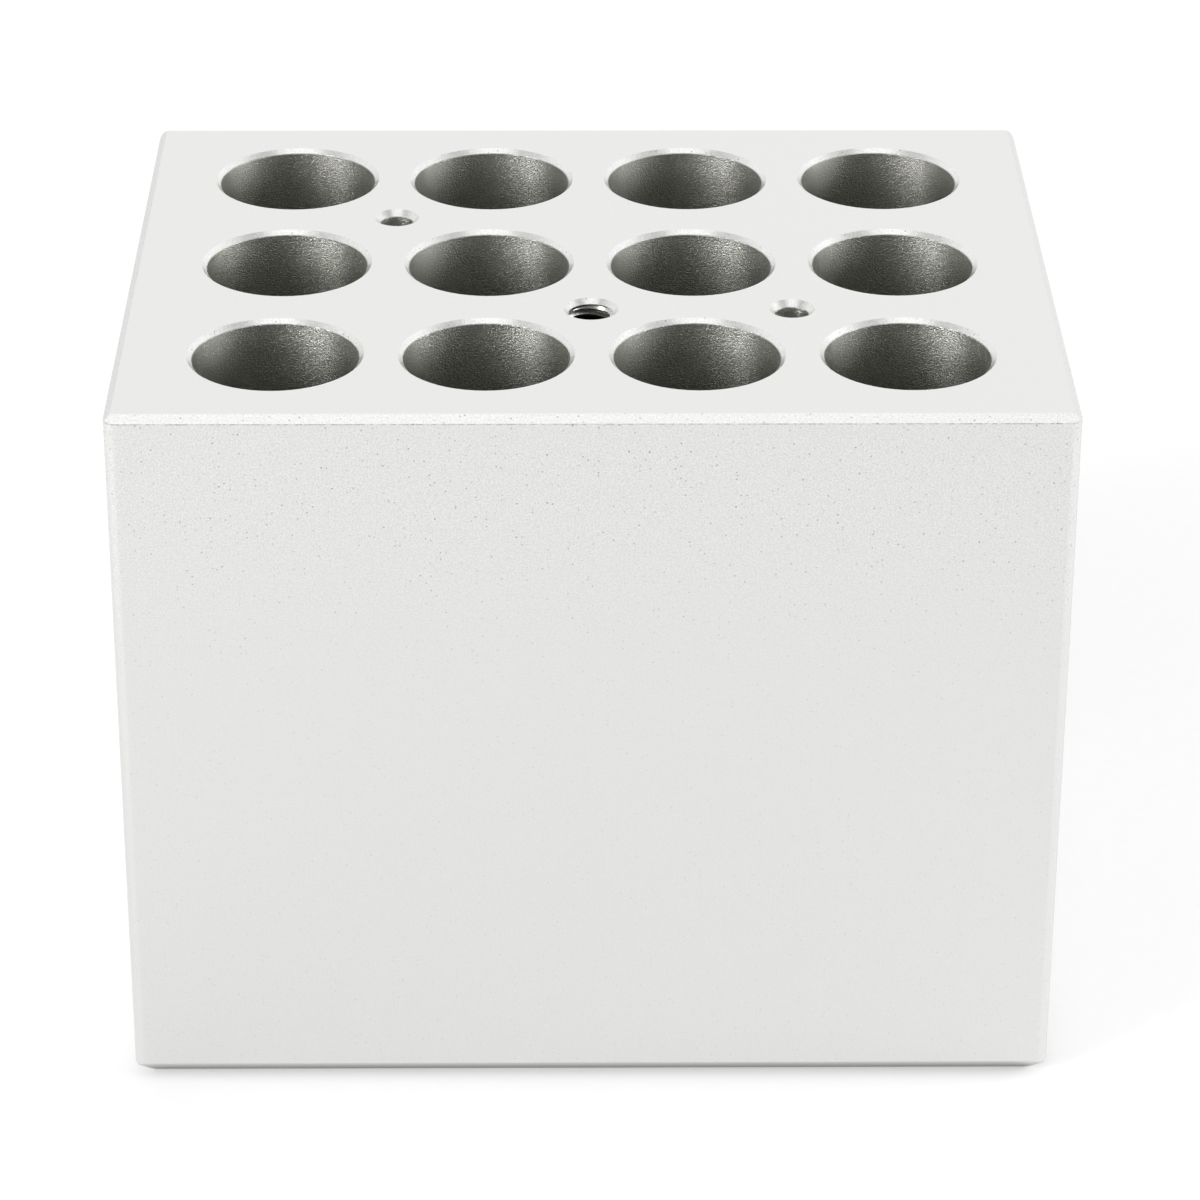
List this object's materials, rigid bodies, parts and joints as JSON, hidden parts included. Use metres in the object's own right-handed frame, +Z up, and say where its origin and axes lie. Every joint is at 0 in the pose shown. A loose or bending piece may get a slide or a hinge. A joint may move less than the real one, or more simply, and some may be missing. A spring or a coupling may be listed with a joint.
{
  "type": "heat block insert",
  "caption": "Solid aluminium heat block for a dry bath, with rows of round tapered tube wells, small probe holes and a tapped lifting hole in its top face.",
  "frame": {"origin": "the middle of the underside, on the surface that the block stands on", "axes": "+X runs along the rows of wells, +Y runs from the front row to the back row, and +Z points up out of the wells"},
  "size_m": [0.0952, 0.0762, 0.0762],
  "materials": {
    "clear_anodised_aluminium": "bead blasted and clear anodised, satin, pale silver grey"
  },
  "bodies": {
    "root": {"heat_block": "clear_anodised_aluminium"}
  },
  "joints": []
}
